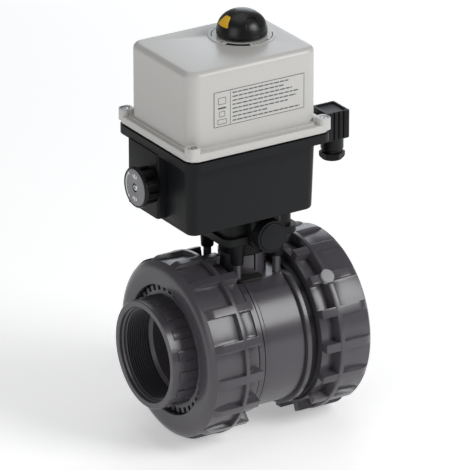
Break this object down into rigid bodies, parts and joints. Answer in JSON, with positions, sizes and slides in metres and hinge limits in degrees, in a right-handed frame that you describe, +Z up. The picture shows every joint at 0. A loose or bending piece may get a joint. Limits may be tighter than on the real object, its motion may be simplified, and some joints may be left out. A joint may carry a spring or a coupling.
{
  "type": "motorized ball valve",
  "caption": "Electric quarter-turn valve actuator on a true-union plastic ball valve, with position dome, manual selector knob and cable plug",
  "frame": {"origin": "Centre of the ball, where the pipe axis crosses the stem axis", "axes": "+X along the pipe, +Z up the stem to the indicator dome, -Y towards the face with the label"},
  "size_m": [0.2301, 0.175, 0.409],
  "materials": {
    "pvc": "PVC-U, injection moulded",
    "black": "glass-filled polyamide, moulded",
    "gloss": "polycarbonate, gloss",
    "cover": "moulded cover, fine texture",
    "yellow": "ABS",
    "disc": "ABS",
    "button": "ABS",
    "steel": "zinc-plated or stainless steel",
    "brass": "turned brass",
    "ptfe": "PTFE",
    "rubber": "EPDM",
    "board": "glass-epoxy board",
    "nylon": "acetal",
    "blue": "polyamide",
    "red": "acetal"
  },
  "bodies": {
    "valve": {"valve_body": "pvc", "saddle_pad": "rubber", "ball_seat_left": "ptfe", "ball_seat_right": "ptfe", "seat_carrier_left": "pvc", "seat_carrier_right": "pvc", "mounting_bracket": "black", "bracket_plug": "black", "gear_housing": "black", "gear_plate": "steel", "gear_pin": "steel", "motor": "steel", "limit_switch_open": "black", "limit_switch_closed": "black", "circuit_board": "board", "terminal_block": "blue", "cover_gasket": "rubber", "connector_base": "black", "plug_gasket": "rubber", "plug_body": "black", "plug_screw": "steel", "gland_seal": "rubber", "gland_nut": "black", "bracket_screw_1": "steel", "bracket_screw_2": "steel", "bracket_screw_3": "steel", "bracket_screw_4": "steel", "cover": "cover", "label_plate": "cover", "scale_ring": "cover", "cover_screw_1": "steel", "cover_screw_2": "steel", "cover_screw_3": "steel", "cover_screw_4": "steel"},
    "valve_turning_set": {"ball": "pvc", "stem": "pvc", "stem_ring_lower": "rubber", "stem_ring_upper": "rubber", "drive_coupling": "steel", "output_shaft": "steel", "output_gear": "steel", "cam_open": "yellow", "cam_closed": "red", "indicator_dome": "gloss", "indicator_flag_left": "yellow", "indicator_flag_right": "yellow"},
    "intermediate_gear": {"intermediate_gear": "nylon"},
    "motor_pinion": {"motor_pinion": "brass"},
    "selector": {"selector_knob": "black", "selector_face": "disc", "selector_screw": "steel", "selector_shaft": "brass"},
    "left_end": {"end_connector_left": "pvc", "body_seal_left": "rubber"},
    "left_nut": {"union_nut_left": "pvc", "nut_button_left": "button"},
    "right_end": {"end_connector_right": "pvc", "body_seal_right": "rubber"},
    "right_nut": {"union_nut_right": "pvc", "nut_button_right": "button"}
  },
  "joints": [
    {"name": "valve_turn", "type": "hinge", "parent": "valve", "child": "valve_turning_set", "pos_m": [0, 0, 0.15], "axis": [0, 0, -1], "range_deg": [0, 90]},
    {"name": "intermediate_spin", "type": "hinge", "parent": "valve", "child": "intermediate_gear", "pos_m": [-0.04229, -0.01216, 0.17], "axis": [0, 0, -1], "range_deg": [-245, 5]},
    {"name": "motor_spin", "type": "hinge", "parent": "valve", "child": "motor_pinion", "pos_m": [-0.06914, -0.02862, 0.176], "axis": [0, 0, -1], "range_deg": [-5, 605]},
    {"name": "selector_turn", "type": "hinge", "parent": "valve", "child": "selector", "pos_m": [-0.1145, -0.013, 0.1758], "axis": [-1, 0, 0], "range_deg": [0, 90]},
    {"name": "left_end_slide", "type": "slide", "parent": "valve", "child": "left_end", "axis": [-1, 0, 0], "range_m": [0, 0.0185]},
    {"name": "left_nut_turn", "type": "hinge", "parent": "left_end", "child": "left_nut", "pos_m": [-0.06, 0, 0], "axis": [-1, 0, 0], "range_deg": [0, 1080]},
    {"name": "right_end_slide", "type": "slide", "parent": "valve", "child": "right_end", "axis": [1, 0, 0], "range_m": [0, 0.0185]},
    {"name": "right_nut_turn", "type": "hinge", "parent": "right_end", "child": "right_nut", "pos_m": [0.06, 0, 0], "axis": [1, 0, 0], "range_deg": [0, 1080]}
  ],
  "couplings": [
    {"joint": "intermediate_spin", "follows": "valve_turn", "ratio": -2.6667},
    {"joint": "motor_spin", "follows": "valve_turn", "ratio": 6.6667},
    {"joint": "left_end_slide", "follows": "left_nut_turn", "m_per_rad": 0.00095493},
    {"joint": "right_end_slide", "follows": "right_nut_turn", "m_per_rad": 0.00095493}
  ]
}
